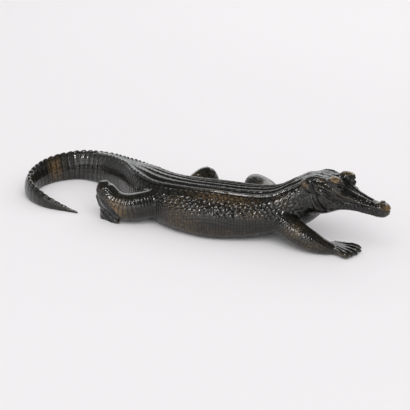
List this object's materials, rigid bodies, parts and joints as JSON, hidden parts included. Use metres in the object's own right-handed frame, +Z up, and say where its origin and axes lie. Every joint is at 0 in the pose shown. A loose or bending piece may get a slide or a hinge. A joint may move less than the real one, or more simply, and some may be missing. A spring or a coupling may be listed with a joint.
{
  "type": "crocodile sculpture",
  "caption": "Cast bronze crocodile lying in mid stride, with its head raised and turned, ridged back, crested tail curled round, clawed feet and dark patina.",
  "frame": {"origin": "on the flat underside of the belly, level with what the sculpture stands on", "axes": "+X along the trunk towards the head, +Y to the animal's left, +Z up"},
  "size_m": [0.3529, 0.1238, 0.0621],
  "materials": {
    "bronze": "cast bronze with a nearly black greenish-brown patina, glossy, rubbed to golden brown on the highest points"
  },
  "bodies": {
    "root": {"crocodile": "bronze"}
  },
  "joints": []
}
